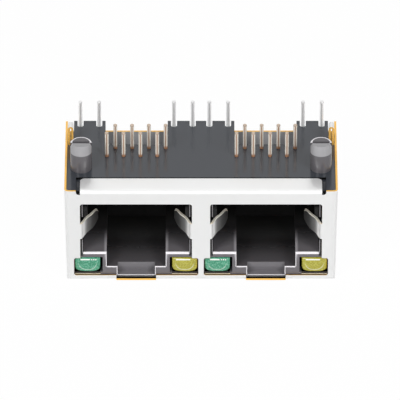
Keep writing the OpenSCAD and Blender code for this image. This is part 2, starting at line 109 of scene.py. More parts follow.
def build_sky():
    world = bpy.data.worlds.new("white_sweep")
    world.use_nodes = True
    tree = world.node_tree
    tree.nodes.clear()
    shown = tree.nodes.new("ShaderNodeBackground")
    shown.inputs["Strength"].default_value = SWEEP_WHITE
    shown.inputs["Color"].default_value = (1, 1, 1, 1)
    fill = tree.nodes.new("ShaderNodeBackground")
    fill.inputs["Strength"].default_value = SKY_FILL
    fill.inputs["Color"].default_value = (1, 1, 1, 1)
    mix = tree.nodes.new("ShaderNodeMixShader")
    out = tree.nodes.new("ShaderNodeOutputWorld")
    tree.links.new(seen_directly(tree), mix.inputs["Fac"])
    tree.links.new(fill.outputs[0], mix.inputs[1])
    tree.links.new(shown.outputs[0], mix.inputs[2])
    tree.links.new(mix.outputs[0], out.inputs["Surface"])
    bpy.context.scene.world = world


def build_floor():
    mesh = bpy.data.meshes.new("floor")
    corners = [(x * FLOOR_REACH, y * FLOOR_REACH, 0) for x, y in ((-1, -1), (1, -1), (1, 1), (-1, 1))]
    mesh.from_pydata(corners, [], [(0, 1, 2, 3)])
    floor = bpy.data.objects.new("floor", mesh)
    bpy.context.scene.collection.objects.link(floor)
    material = bpy.data.materials.new("floor_white")
    material.use_nodes = True
    tree = material.node_tree
    tree.nodes.clear()
    matt = tree.nodes.new("ShaderNodeBsdfDiffuse")
    matt.inputs["Color"].default_value = FLOOR_COLOUR
    glow = tree.nodes.new("ShaderNodeEmission")
    glow.inputs["Strength"].default_value = SWEEP_WHITE
    mix = tree.nodes.new("ShaderNodeMixShader")
    out = tree.nodes.new("ShaderNodeOutputMaterial")
    tree.links.new(combine(tree, "MULTIPLY", seen_directly(tree), FLOOR_GLOW), mix.inputs["Fac"])
    tree.links.new(matt.outputs[0], mix.inputs[1])
    tree.links.new(glow.outputs[0], mix.inputs[2])
    tree.links.new(mix.outputs[0], out.inputs["Surface"])
    mesh.materials.append(material)


def add_lamp(name, elevation, azimuth, distance, width, height, radiance):
    """An area lamp aimed at the jack, of a given brightness as it shows in a mirror."""
    lamp = bpy.data.lights.new(name, "AREA")
    lamp.shape = "RECTANGLE"
    lamp.size = width
    lamp.size_y = height
    lamp.energy = radiance * math.pi * width * height
    holder = bpy.data.objects.new(name, lamp)
    bpy.context.scene.collection.objects.link(holder)
    up, turn = math.radians(elevation), math.radians(azimuth)
    away = Vector((math.sin(turn) * math.cos(up), -math.cos(turn) * math.cos(up), math.sin(up)))
    holder.location = Vector((0, 0, frame_high.z / 2)) + away * distance
    holder.rotation_euler = away.to_track_quat("Z", "Y").to_euler()
    holder.visible_camera = False


build_sky()
build_floor()
for name, azimuth in (("left_lamp", -38), ("right_lamp", 38)):
    add_lamp(name, elevation=35, azimuth=azimuth, distance=0.9, width=0.3, height=0.3, radiance=12.2)
add_lamp("edge_lamp", elevation=62, azimuth=0, distance=0.7, width=0.9, height=0.24, radiance=1.5)
add_lamp("rear_lamp", elevation=48, azimuth=180, distance=0.7, width=0.04, height=0.04, radiance=22)

# Housing
# One black moulding with a bright gloss: ports, lamp pockets and the two split pegs in one
# piece. Every edge of the mould leaves a slight round on it. The front edges of the ports carry
# painted highlights, the pegs' ends painted reflections, and the ports painted shade further in.
HOUSING_ROUND = 0.05
PORT_X = 7.875
BOARD_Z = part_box("front_shell")[1].z / MM
FRONT_GREY = (0.125, 0.115, 0.125)
PORT_BLACK = (0.003, 0.003, 0.003)
NOTCH_LIT_GREY = (0.16, 0.153, 0.165)
RIDGE_HIGHLIGHT_GREY = (0.3, 0.29, 0.31)
LIP_CREAM = (1.0, 0.88, 0.66)
# Colours of painted highlights on rounded edges
HIGHLIGHT_PALE = (0.85, 0.83, 0.86)
HIGHLIGHT_GREY = (0.8, 0.78, 0.81)
HIGHLIGHT_DIM = (0.24, 0.23, 0.25)
OUTER_X = 6.0
EDGE_DEPTHS = (0.29, 0.6)
EDGES_BELOW_BOARD = 1.8
STRIP_BED = 0.45
BOARD_SIDE = 0.1
UPPER_EDGE, INNER_EDGE, BOARD, OUTER_EDGE = range(1, 5)
# Colours of the ports at depths behind the front plate: painted light at the mouth and painted
# shade that darkens them further in
PORT_SHADE_DEPTHS = (
    (0.3, (0.13, 0.12, 0.13)), (1.6, (0.125, 0.118, 0.128)), (3.0, (0.1, 0.096, 0.103)),
    (4.4, (0.06, 0.058, 0.062)), (6.0, (0.018, 0.018, 0.019)), (9.5, (0.003, 0.003, 0.003)))
DULL_DEPTHS = (4, 8)
DULL_TOP = (("z", 7.6, 8.2), ("depth", 0.4, 0.9))
DULLNESS = 0.65
GLOSS_HEIGHTS = (8.2, 7.2)
# What is painted over a colour, in turn: a colour, its share, and the ranges in which it comes
# in. Each range runs from none to all of it, in millimetres.
PORT_PATCHES = (
    # the latch channel, in shade
    (PORT_BLACK, 0.4, (("z", 2.7, 2.3), ("depth", 0.34, 0.6))),
    # a painted highlight on the rounded brink between ledge and channel
    (RIDGE_HIGHLIGHT_GREY, 1, (("beside", 3.52, 3.58), ("beside", 4.0, 3.72), ("z", 2.4, 3.6), ("depth", 6, 2))),
    # the floor of the finger notch, painted lighter as lit, and all that lies under it, painted
    # black as shade
    (NOTCH_LIT_GREY, 1, (("z", 1.78, 1.7), ("depth", 0.42, 0.5), ("depth", 1.6, 1.5))),
    (PORT_BLACK, 1, (("z", 0.5, 0.48),)),
    # the lamp pockets and the face below them, painted black as shade, and the thin lip on it
    (PORT_BLACK, 1, (("beside", 4.32, 4.37), ("z", 3.3, 3.27), ("depth", 0.33, 0.37))),
    (PORT_BLACK, 1, (("beside", 4.32, 4.37), ("z", 0.95, 0.92))),
    (LIP_CREAM, 1, (("beside", 4.32, 4.37), ("z", 0.69, 0.715), ("z", 0.79, 0.765))),
    # a painted highlight on the brink of the notch
    (HIGHLIGHT_PALE, 1, (("beside", 2.25, 2.2), ("z", 0.9, 0.8), ("z", 0.46, 0.49), ("depth", 0.52, 0.46))),
    # painted shade on the strip that shows beside a window, and on the upper part of the port
    (PORT_BLACK, 1, (("beside", 6.38, 6.42), ("z", 3.33, 3.36))),
    (PORT_BLACK, 1, (("z", 5.8, 8.2),)))
BOARD_BLACK = (0.045, 0.05, 0.06)
PEG_REFLECTION_PALE = (0.33, 0.326, 0.338)
PEG_LIT_GREY = (0.11, 0.104, 0.112)
PEG_X = 14.53
PEG_DEPTH = 5.2
BOARD_PATCHES = (
    # the pegs, painted paler than the board as light on them
    (PEG_LIT_GREY, 1, (("over_board", 0.02, 0.1),)),
    # a painted reflection on the tip of a peg's near half, and a painted highlight on the rim of its
    # far half
    (PEG_REFLECTION_PALE, 1, (("over_board", 2.38, 2.5), ("depth", 5.2, 5.1))),
    (HIGHLIGHT_PALE, 1, (("over_board", 3.5, 3.55), ("from_peg", 1.02, 1.1), ("depth", 5.1, 5.2))))


def rounded_copy(name, node, bevel):
    """A copy of a CAD node's mesh, welded, with every edge sharper than 30 degrees rounded."""
    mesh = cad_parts[node].data.copy()
    mesh.materials.clear()
    mesh.transform(Matrix.Scale(1 / MM, 4))
    form = bmesh.new()
    form.from_mesh(mesh)
    bmesh.ops.remove_doubles(form, verts=form.verts, dist=0.001)
    bmesh.ops.dissolve_degenerate(form, edges=form.edges, dist=0.0005)
    bmesh.ops.dissolve_limit(
        form, angle_limit=math.radians(0.5), use_dissolve_boundaries=False,
        verts=form.verts, edges=form.edges)
    form.to_mesh(mesh)
    form.free()
    if "custom_normal" in mesh.attributes:
        mesh.attributes.remove(mesh.attributes["custom_normal"])
    mesh.polygons.foreach_set("use_smooth", [True] * len(mesh.polygons))
    draft = bpy.data.objects.new(name + "_draft", mesh)
    bpy.context.scene.collection.objects.link(draft)
    rounding = draft.modifiers.new("rounding", "BEVEL")
    rounding.width = bevel
    rounding.segments = 2
    rounding.limit_method = "ANGLE"
    rounding.angle_limit = math.radians(30)
    rounding.harden_normals = True
    rounding.use_clamp_overlap = True
    return settle(name, draft)


def settle(name, draft):
    """Turns an object with live modifiers, in millimetres, into a plain piece in metres."""
    graph = bpy.context.evaluated_depsgraph_get()
    graph.update()
    mesh = bpy.data.meshes.new_from_object(draft.evaluated_get(graph), depsgraph=graph)
    bpy.data.objects.remove(draft)
    mesh.transform(Matrix.Scale(MM, 4))
    mesh.name = name
    piece = bpy.data.objects.new(name, mesh)
    bpy.context.scene.collection.objects.link(piece)
    return piece


def build_grain_group():
    """Fine uneven grain on Object coordinates, which can be drawn out along each axis."""
    group = bpy.data.node_groups.new("surface_grain", "ShaderNodeTree")
    face = group.interface
    face.new_socket("Stretch", in_out="INPUT", socket_type="NodeSocketVector")
    face.new_socket("Scale", in_out="INPUT", socket_type="NodeSocketFloat")
    face.new_socket("Low", in_out="INPUT", socket_type="NodeSocketFloat")
    face.new_socket("High", in_out="INPUT", socket_type="NodeSocketFloat")
    face.new_socket("Value", in_out="OUTPUT", socket_type="NodeSocketFloat")
    face.new_socket("Grain", in_out="OUTPUT", socket_type="NodeSocketFloat")
    inner = group.nodes.new("NodeGroupInput")
    outer = group.nodes.new("NodeGroupOutput")
    place = group.nodes.new("ShaderNodeTexCoord")
    drawn = group.nodes.new("ShaderNodeVectorMath")
    drawn.operation = "MULTIPLY"
    noise = group.nodes.new("ShaderNodeTexNoise")
    noise.inputs["Detail"].default_value = 4
    spread = group.nodes.new("ShaderNodeMapRange")
    spread.inputs["From Min"].default_value = 0.3
    spread.inputs["From Max"].default_value = 0.7
    group.links.new(place.outputs["Object"], drawn.inputs[0])
    group.links.new(inner.outputs["Stretch"], drawn.inputs[1])
    group.links.new(drawn.outputs[0], noise.inputs["Vector"])
    group.links.new(inner.outputs["Scale"], noise.inputs["Scale"])
    group.links.new(noise.outputs["Fac"], spread.inputs["Value"])
    group.links.new(inner.outputs["Low"], spread.inputs["To Min"])
    group.links.new(inner.outputs["High"], spread.inputs["To Max"])
    group.links.new(spread.outputs["Result"], outer.inputs["Value"])
    group.links.new(noise.outputs["Fac"], outer.inputs["Grain"])
    return group


GRAIN = build_grain_group()


def add_grain(tree, bsdf, scale, low, high, stretch=(1, 1, 1), bump=0.0, bump_depth=0.00001):
    """Uneven roughness from the grain group, and a shallow bump where one is asked for."""
    grain = tree.nodes.new("ShaderNodeGroup")
    grain.node_tree = GRAIN
    grain.inputs["Stretch"].default_value = stretch
    grain.inputs["Scale"].default_value = scale
    grain.inputs["Low"].default_value = low
    grain.inputs["High"].default_value = high
    tree.links.new(grain.outputs["Value"], bsdf.inputs["Roughness"])
    if bump:
        relief = tree.nodes.new("ShaderNodeBump")
        relief.inputs["Strength"].default_value = bump
        relief.inputs["Distance"].default_value = bump_depth
        tree.links.new(grain.outputs["Grain"], relief.inputs["Height"])
        tree.links.new(relief.outputs["Normal"], bsdf.inputs["Normal"])
    return grain


def finish_material(name, colour, metallic=0.0):
    material = bpy.data.materials.new(name)
    material.use_nodes = True
    tree = material.node_tree
    bsdf = tree.nodes["Principled BSDF"]
    bsdf.inputs["Base Color"].default_value = (*colour, 1)
    bsdf.inputs["Metallic"].default_value = metallic
    bsdf.inputs["IOR"].default_value = 1.5
    return material, tree, bsdf


def blend_colour(tree, factor, first, second):
    """Mixes two colours, each a plain colour or another node's output."""
    mix = tree.nodes.new("ShaderNodeMix")
    mix.data_type = "RGBA"
    tree.links.new(factor, mix.inputs["Factor"])
    for socket, value in ((mix.inputs[6], first), (mix.inputs[7], second)):
        if isinstance(value, tuple):
            socket.default_value = (*value, 1)
        else:
            tree.links.new(value, socket)
    return mix.outputs[2]


def ramp_between(tree, value, start, end):
    """Runs smoothly from zero to one as a value goes from start to end."""
    ramp = tree.nodes.new("ShaderNodeMapRange")
    ramp.interpolation_type = "SMOOTHSTEP"
    ramp.inputs["From Min"].default_value = start
    ramp.inputs["From Max"].default_value = end
    tree.links.new(value, ramp.inputs["Value"])
    return ramp.outputs["Result"]


def away_from(tree, value, middle):
    """How far a value is from a middle one, on either side of it."""
    return combine(tree, "ABSOLUTE", combine(tree, "SUBTRACT", value, middle))


def places_in_mm(tree):
    """Object coordinates in millimetres: x, z, the depth behind the front plate, the height over
    the board face, and the distance from the middle of the nearest port."""
    place = tree.nodes.new("ShaderNodeTexCoord")
    split = tree.nodes.new("ShaderNodeSeparateXYZ")
    tree.links.new(place.outputs["Object"], split.inputs[0])
    x, y, z = (combine(tree, "DIVIDE", split.outputs[axis], MM) for axis in "XYZ")
    return {
        "x": x, "z": z, "depth": combine(tree, "SUBTRACT", y, frame_low.y / MM),
        "over_board": combine(tree, "SUBTRACT", z, BOARD_Z),
        "beside": away_from(tree, away_from(tree, x, 0), PORT_X)}


def depth_ramp(tree, places, stops):
    """Colours that follow the depth behind the front plate, given as depths in millimetres."""
    span = tree.nodes.new("ShaderNodeMapRange")
    ramp = tree.nodes.new("ShaderNodeValToRGB")
    first, last = stops[0][0], stops[-1][0]
    span.inputs["From Min"].default_value = first
    span.inputs["From Max"].default_value = last
    points = ramp.color_ramp.elements
    while len(points) < len(stops):
        points.new(0.5)
    for point, (depth, colour) in zip(points, stops):
        point.position = (depth - first) / (last - first)
        point.color = (*colour, 1)
    tree.links.new(places["depth"], span.inputs["Value"])
    tree.links.new(span.outputs["Result"], ramp.inputs["Fac"])
    return ramp.outputs["Color"]


def mask_of(tree, places, ranges, share=1):
    """A share where all of the ranges have come in, and less where any of them has not."""
    for name, start, end in ranges:
        share = combine(tree, "MULTIPLY", ramp_between(tree, places[name], start, end), share)
    return share


def paint(tree, places, colour, patches):
    """Paints a table of patches over a colour."""
    for patch, share, ranges in patches:
        colour = blend_colour(tree, mask_of(tree, places, ranges, share), colour, patch)
    return colour


def black_moulding():
    """Glossy at the mouth of a port and dull further in, where the mould was rough, and painted darker
    further in as shade.
    """
    material, tree, bsdf = finish_material("gloss_black_moulding", FRONT_GREY)
    grain = add_grain(tree, bsdf, scale=900, low=0.16, high=0.26, bump=0.12)
    places = places_in_mm(tree)
    deep = ramp_between(tree, places["depth"], *DULL_DEPTHS)
    inside = combine(tree, "MAXIMUM", deep, mask_of(tree, places, DULL_TOP))
    dull = combine(tree, "MULTIPLY", inside, DULLNESS)
    tree.links.new(combine(tree, "ADD", grain.outputs["Value"], dull), bsdf.inputs["Roughness"])
    gloss = combine(tree, "MULTIPLY", ramp_between(tree, places["z"], *GLOSS_HEIGHTS), 0.48)
    tree.links.new(combine(tree, "ADD", gloss, 0.02), bsdf.inputs["Specular IOR Level"])
    colour = paint(tree, places, depth_ramp(tree, places, PORT_SHADE_DEPTHS), PORT_PATCHES)
    tree.links.new(colour, bsdf.inputs["Base Color"])
    return material


def board_moulding():
    """The board face and the pegs, which are painted paler than the board as light, with painted
    reflections and highlights at their tips.
    """
    material, tree, bsdf = finish_material("satin_black_moulding", BOARD_BLACK)
    add_grain(tree, bsdf, scale=900, low=0.1, high=0.17, bump=0.06)
    bsdf.inputs["Specular IOR Level"].default_value = 0.42
    places = places_in_mm(tree)
    across = combine(tree, "POWER", away_from(tree, away_from(tree, places["x"], 0), PEG_X), 2)
    along = combine(tree, "POWER", away_from(tree, places["depth"], PEG_DEPTH), 2)
    places["from_peg"] = combine(tree, "SQRT", combine(tree, "ADD", across, along))
    tree.links.new(paint(tree, places, BOARD_BLACK, BOARD_PATCHES), bsdf.inputs["Base Color"])
    return material


# A pale finish that paints a highlight on a rounded edge
def highlight_edge(name, colour):
    material, tree, bsdf = finish_material(name, colour)
    add_grain(tree, bsdf, scale=1600, low=0.15, high=0.3, bump=0.1)
    return material


def sort_the_finishes(piece):
    """Gives the rounded front edges of the ports their painted highlight finishes, and the board side its
    own finish.
    """
    shallow, deep = EDGE_DEPTHS
    for face in piece.data.polygons:
        x, depth, z = abs(face.center.x) / MM, (face.center.y - frame_low.y) / MM, face.center.z / MM
        back, up = face.normal.y, face.normal.z
        if z > BOARD_Z - (STRIP_BED if up > 0.9 else BOARD_SIDE):
            face.material_index = BOARD
        elif z > BOARD_Z - EDGES_BELOW_BOARD or not shallow < depth < deep:
            continue
        elif -0.995 < back < -0.1 and up > 0.12:
            face.material_index = UPPER_EDGE
        elif -0.995 < back < -0.1 and up > -0.1:
            face.material_index = OUTER_EDGE if abs(x - PORT_X) > OUTER_X else INNER_EDGE


housing = rounded_copy("housing_moulding", "housing", HOUSING_ROUND)
for finish in (black_moulding(), highlight_edge("highlight_edge", HIGHLIGHT_PALE),
               highlight_edge("highlight_corner", HIGHLIGHT_GREY), board_moulding(),
               highlight_edge("dim_highlight_corner", HIGHLIGHT_DIM)):
    housing.data.materials.append(finish)
sort_the_finishes(housing)
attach(housing, "root")
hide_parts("housing")

# Contact carriers
# Two black mouldings, each pushed in from the rear with its eight wires. They are duller than
# the housing, and only their combs show, through the ports and the wells.
CARRIER_BLACK = (0.01, 0.01, 0.011)


def dull_moulding():
    material, tree, bsdf = finish_material("dull_black_moulding", CARRIER_BLACK)
    add_grain(tree, bsdf, scale=1400, low=0.28, high=0.42, bump=0.3)
    return material


DULL_MOULDING = dull_moulding()
for port in ("left", "right"):
    carrier = rounded_copy(f"{port}_comb_carrier", f"{port}_carrier", HOUSING_ROUND)
    carrier.data.materials.append(DULL_MOULDING)
    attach(carrier, "root")
    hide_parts(f"{port}_carrier")

# Shield
# Copper alloy sheet, tinned bright before it was stamped and folded, so its faces are silvery
# and its cut edges bare. The front piece wraps the ports, and the rear one snaps in behind.
TIN = (0.79, 0.792, 0.789)
BARE_EDGE = (0.9, 0.53, 0.12)
CUT_HIGHLIGHT_CREAM = (1.0, 0.97, 0.86)
SHADED_LINING_TIN = (0.34, 0.34, 0.35)
SHADE_BLACK = (0.004, 0.004, 0.004)
# Painted highlight and shade on the fingers, at depths behind the front plate
FINGER_LIGHT_DEPTHS = (
    (0.2, (1.0, 1.0, 1.0)), (0.7, (1.0, 1.0, 1.0)), (1.1, (0.5, 0.5, 0.5)), (1.6, (0.2, 0.2, 0.2)),
    (2.4, (0.08, 0.08, 0.08)), (3.6, (0.04, 0.04, 0.04)), (4.2, (0.1, 0.1, 0.1)))
# Painted shade on the lip in front of a finger notch and on the inner half of a window's lower
# edge, and a painted highlight band along a finger's upper edge
TIN_PATCHES = (
    (SHADE_BLACK, 1, (("beside", 2.45, 2.41), ("depth", 0.5, 0.4), ("z", 0.28, 0.26), ("z", 0.2, 0.22))),)
CUT_PATCHES = ((SHADE_BLACK, 1, (("z", 1.3, 1.2), ("z", 0.35, 0.4), ("depth", 0.09, 0.13))),)
FINGER_PATCHES = ((CUT_HIGHLIGHT_CREAM, 1, (("z", 7.94, 8.0),)),)
SHEET_ROUND = 0.03
SHEET_T = 0.25
FINGER_LOW = 5.9
FINGER_TOP = 8.2
FINGER_START = 0.3
FINGER_END = 4.5
HIGHLIT_FROM = 0.6
WINDOW_HALF = 6.75
SLIT_X = (14.6, 15.12)
SLIT_LOW = 12.3
SLIT_DEPTH = 0.6
PLAIN, BARE, HIGHLIT, FINGER, SLIT, INSIDE = range(6)


def bright_tin():
    material, tree, bsdf = finish_material("bright_tin", TIN, metallic=0.6)
    add_grain(tree, bsdf, scale=220, low=0.36, high=0.44, stretch=(1, 1, 14), bump=0.05)
    tree.links.new(paint(tree, places_in_mm(tree), TIN, TIN_PATCHES), bsdf.inputs["Base Color"])
    return material


def bare_cut(name, colour, metallic=0.5):
    material, tree, bsdf = finish_material(name, colour, metallic=metallic)
    add_grain(tree, bsdf, scale=2500, low=0.4, high=0.55, bump=0.4)
    tree.links.new(paint(tree, places_in_mm(tree), colour, CUT_PATCHES), bsdf.inputs["Base Color"])
    return material


def finger_tin():
    """The fingers carry a painted highlight at their roots, and painted shade where they reach into the
    port.
    """
    material, tree, bsdf = finish_material("finger_tin", TIN, metallic=0.1)
    add_grain(tree, bsdf, scale=220, low=0.3, high=0.4, bump=0.05)
    places = places_in_mm(tree)
    colour = paint(tree, places, depth_ramp(tree, places, FINGER_LIGHT_DEPTHS), FINGER_PATCHES)
    tree.links.new(colour, bsdf.inputs["Base Color"])
    return material


def shaded_lining_tin():
    """The matt inner face of the rear piece, painted darker than the tin as shade, which shows in the
    wells behind the tails.
    """
    material, tree, bsdf = finish_material("shaded_lining_tin", SHADED_LINING_TIN)
    add_grain(tree, bsdf, scale=400, low=0.5, high=0.6)
    return material


def shaded_slit():
    """Metal in the narrow slits beside the fold, painted black as shade."""
    material, tree, bsdf = finish_material("shaded_slit", SHADE_BLACK)
    add_grain(tree, bsdf, scale=2500, low=0.6, high=0.8)
    bsdf.inputs["Specular IOR Level"].default_value = 0.1
    return material


BRIGHT_TIN = bright_tin()
BARE_CUT = bare_cut("bare_cut_edge", BARE_EDGE)
# The fingers' upper cut edges, painted near white as a highlight
HIGHLIT_CUT = bare_cut("highlit_cut_edge", CUT_HIGHLIGHT_CREAM, metallic=0)
SHADED_LINING = shaded_lining_tin()
FINGER_TIN = finger_tin()
SHADED_SLIT = shaded_slit()


def shell_finish(centre, normal, is_cut):
    """Which of the front piece's finishes a face has, from its place."""
    x, depth, z = abs(centre.x) / MM, (centre.y - frame_low.y) / MM, centre.z / MM
    in_window = FINGER_LOW < z < FINGER_TOP and abs(x - PORT_X) < WINDOW_HALF
    if in_window and FINGER_START < depth < FINGER_END:
        # upper cut edges deeper in get the painted highlight finish
        if normal.z > 0.15:
            return HIGHLIT if depth > HIGHLIT_FROM else BARE
        return FINGER
    if SLIT_X[0] < x < SLIT_X[1] and SLIT_LOW < z < BOARD_Z - 0.04 and depth < SLIT_DEPTH:
        return SLIT
    return BARE if is_cut else PLAIN


def bare_the_cut_edges(piece, node, thickness):
    """Gives the narrow faces that lie across the sheet the colour of the bare metal. A face is
    such a cut if a ray sent in from it goes on for longer than the sheet is thick."""
    mesh = piece.data
    for finish in (BRIGHT_TIN, BARE_CUT, HIGHLIT_CUT, FINGER_TIN, SHADED_SLIT, SHADED_LINING):
        mesh.materials.append(finish)
    form = bmesh.new()
    form.from_mesh(mesh)
    solid = BVHTree.FromBMesh(form)
    step = thickness * 0.05
    for face in form.faces:
        centre = face.calc_center_median()
        hit = solid.ray_cast(centre - face.normal * step, -face.normal)
        is_cut = hit[0] is None or hit[3] > thickness * 1.6
        if node == "front_shell":
            face.material_index = shell_finish(centre, face.normal, is_cut)
        elif is_cut and abs(face.normal.x) < 0.9:
            face.material_index = BARE
        elif face.normal.y < -0.9 and centre.y > frame_high.y - 2 * thickness:
            face.material_index = INSIDE
    form.to_mesh(mesh)
    form.free()


for node, name in (("front_shell", "front_shield"), ("rear_cover", "rear_shield")):
    shield = rounded_copy(name, node, SHEET_ROUND)
    bare_the_cut_edges(shield, node, SHEET_T * MM)
    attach(shield, "root")
    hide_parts(node)

# Contacts
# Gold plated wire, eight to a port, each bent from one length: a tail that stands out of the
# board face, a run along the ceiling of the port, and a sprung arm into the plug's way. The
# tails stand in two rows, so every second wire is the same.
GOLD = (1.0, 0.95, 0.85)
GOLD_CORE_REFLECTION = (0.4, 0.22, 0.14)
COPPER = (0.42, 0.2, 0.1)
TIP_BRONZE = (0.6, 0.48, 0.38)
WIRE_D = 0.46
WIRE_ROUND = 0.14
WIRE_TIP = 0.6
WIRE_PITCH = 1.02
TAIL_DEPTHS = {"front": 7.95, "back": 9.73}
TAIL_TIP = 16.19
# The pale sides and darker middle of each wire are a painted reflection
GOLD_PATCHES = (
    (GOLD, 1, (("off_wire", 0.04, 0.1),)),
    (COPPER, 1, (("over_board", 0.5, 0.1),)),
    (TIP_BRONZE, 1, (("z", TAIL_TIP - 0.2, TAIL_TIP - 0.1),)))
TAIL_BEND = 0.4
RUN_Z = 11.35
NOSE_DEPTH = 2.6
NOSE_BEND = 0.55
ARM_SLOPE = math.radians(22)
ARM_LENGTH = 10.5


def build_row_tree():
    """Sweeps a square wire with round corners along a path, tapers both of its ends, and repeats
    it in a row along X. Corners of half the width make the wire round."""
    tree = bpy.data.node_groups.new("row_of_wires", "GeometryNodeTree")
    face = tree.interface
    face.new_socket("Geometry", in_out="INPUT", socket_type="NodeSocketGeometry")
    for name in ("Width", "Corner", "Pitch", "Tip Length", "Tip Width"):
        face.new_socket(name, in_out="INPUT", socket_type="NodeSocketFloat")
    face.new_socket("Count", in_out="INPUT", socket_type="NodeSocketInt")
    face.new_socket("Material", in_out="INPUT", socket_type="NodeSocketMaterial")
    face.new_socket("Geometry", in_out="OUTPUT", socket_type="NodeSocketGeometry")
    add, link = tree.nodes.new, tree.links.new
    inner, outer = add("NodeGroupInput"), add("NodeGroupOutput")

    path = add("GeometryNodeMeshToCurve")
    along, whole = add("GeometryNodeSplineParameter"), add("GeometryNodeSplineLength")
    rest, nearest = add("ShaderNodeMath"), add("ShaderNodeMath")
    rest.operation, nearest.operation = "SUBTRACT", "MINIMUM"
    taper, sized = add("ShaderNodeMapRange"), add("GeometryNodeSetCurveRadius")
    link(inner.outputs["Geometry"], path.inputs["Mesh"])
    link(whole.outputs["Length"], rest.inputs[0])
    link(along.outputs["Length"], rest.inputs[1])
    link(along.outputs["Length"], nearest.inputs[0])
    link(rest.outputs[0], nearest.inputs[1])
    link(nearest.outputs[0], taper.inputs["Value"])
    link(inner.outputs["Tip Length"], taper.inputs["From Max"])
    link(inner.outputs["Tip Width"], taper.inputs["To Min"])
    link(path.outputs["Curve"], sized.inputs["Curve"])
    link(taper.outputs["Result"], sized.inputs["Radius"])

    square, corners = add("GeometryNodeCurvePrimitiveQuadrilateral"), add("GeometryNodeFilletCurve")
    corners.mode = "POLY"
    corners.inputs["Count"].default_value = 3
    corners.inputs["Limit Radius"].default_value = True
    wire = add("GeometryNodeCurveToMesh")
    wire.inputs["Fill Caps"].default_value = True
    link(inner.outputs["Width"], square.inputs["Width"])
    link(inner.outputs["Width"], square.inputs["Height"])
    link(square.outputs["Curve"], corners.inputs["Curve"])
    link(inner.outputs["Corner"], corners.inputs["Radius"])
    link(sized.outputs["Curve"], wire.inputs["Curve"])
    link(corners.outputs["Curve"], wire.inputs["Profile Curve"])

    step, row = add("ShaderNodeCombineXYZ"), add("GeometryNodeMeshLine")
    repeat = add("GeometryNodeInstanceOnPoints")
    real, finish = add("GeometryNodeRealizeInstances"), add("GeometryNodeSetMaterial")
    link(inner.outputs["Pitch"], step.inputs["X"])
    link(step.outputs[0], row.inputs["Offset"])
    link(inner.outputs["Count"], row.inputs["Count"])
    link(row.outputs["Mesh"], repeat.inputs["Points"])
    link(wire.outputs["Mesh"], repeat.inputs["Instance"])
    link(repeat.outputs["Instances"], real.inputs["Geometry"])
    link(real.outputs["Geometry"], finish.inputs["Geometry"])
    link(inner.outputs["Material"], finish.inputs["Material"])
    link(finish.outputs["Geometry"], outer.inputs["Geometry"])
    return tree


ROW_OF_WIRES = build_row_tree()


def arc_points(depth, z, radius, start, turn, count):
    """Points on a bend about a centre, at angles from the depth axis towards +Z."""
    angles = [math.radians(start + turn * i / count) for i in range(count + 1)]
    return [(depth + radius * math.cos(a), z + radius * math.sin(a)) for a in angles]


def row_of_wires(name, first_x, path, **sizes):
    """A row of equal wires from one path, given as depths and levels in millimetres."""
    front = frame_low.y / MM
    mesh = bpy.data.meshes.new(name + "_path")
    mesh.from_pydata(
        [(first_x, front + depth, z) for depth, z in path], [(i, i + 1) for i in range(len(path) - 1)], [])
    draft = bpy.data.objects.new(name + "_draft", mesh)
    bpy.context.scene.collection.objects.link(draft)
    row = draft.modifiers.new("row", "NODES")
    row.node_group = ROW_OF_WIRES
    for socket in ROW_OF_WIRES.interface.items_tree:
        if socket.in_out == "INPUT" and socket.name in sizes:
            row[socket.identifier] = sizes[socket.name]
    piece = settle(name, draft)
    piece.data.shade_smooth()
    piece.data.set_sharp_from_angle(angle=math.radians(40))
    return piece


def contact_path(tail):
    nose_z = RUN_Z - NOSE_BEND
    points = [(tail, TAIL_TIP), (tail, TAIL_TIP - WIRE_ROUND)]
    points += arc_points(tail - TAIL_BEND, RUN_Z + TAIL_BEND, TAIL_BEND, 0, -90, 6)
    points += arc_points(NOSE_DEPTH, nose_z, NOSE_BEND, 90, 180 - math.degrees(ARM_SLOPE), 12)
    depth, z = points[-1]
    for length in (ARM_LENGTH - WIRE_ROUND, ARM_LENGTH):
        points.append((depth + length * math.cos(ARM_SLOPE), z - length * math.sin(ARM_SLOPE)))
    return points


def off_wire(tree, places, first, pitch):
    """Distance from the middle line of the nearest wire of a port, in millimetres."""
    turns = combine(tree, "DIVIDE", combine(tree, "SUBTRACT", places["beside"], first), pitch)
    part = combine(tree, "FRACT", combine(tree, "ADD", turns, 0.5))
    return combine(tree, "MULTIPLY", away_from(tree, part, 0.5), pitch)


def plated_gold():
    """Pale along the sides and darker in the middle as a painted reflection, with a coppery foot and a
    dull tip.
    """
    material, tree, bsdf = finish_material("plated_gold", GOLD, metallic=0.2)
    add_grain(tree, bsdf, scale=1800, low=0.26, high=0.4, stretch=(4, 4, 1), bump=0.1)
    places = places_in_mm(tree)
    places["off_wire"] = off_wire(tree, places, WIRE_PITCH / 2, WIRE_PITCH)
    tree.links.new(paint(tree, places, GOLD_CORE_REFLECTION, GOLD_PATCHES), bsdf.inputs["Base Color"])
    return material


PLATED_GOLD = plated_gold()
for port in ("left", "right"):
    for row, first in (("front", 1), ("back", 2)):
        low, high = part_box(f"{port}_contact_{first}")
        wires = row_of_wires(
            f"{port}_{row}_row_wires", (low.x + high.x) / 2 / MM, contact_path(TAIL_DEPTHS[row]),
            **{"Width": WIRE_D, "Corner": WIRE_D / 2, "Pitch": 2 * WIRE_PITCH, "Tip Length": WIRE_ROUND,
               "Tip Width": WIRE_TIP, "Count": 4, "Material": PLATED_GOLD})
        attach(wires, "root")
        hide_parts(*[f"{port}_contact_{k}" for k in range(first, 9, 2)])

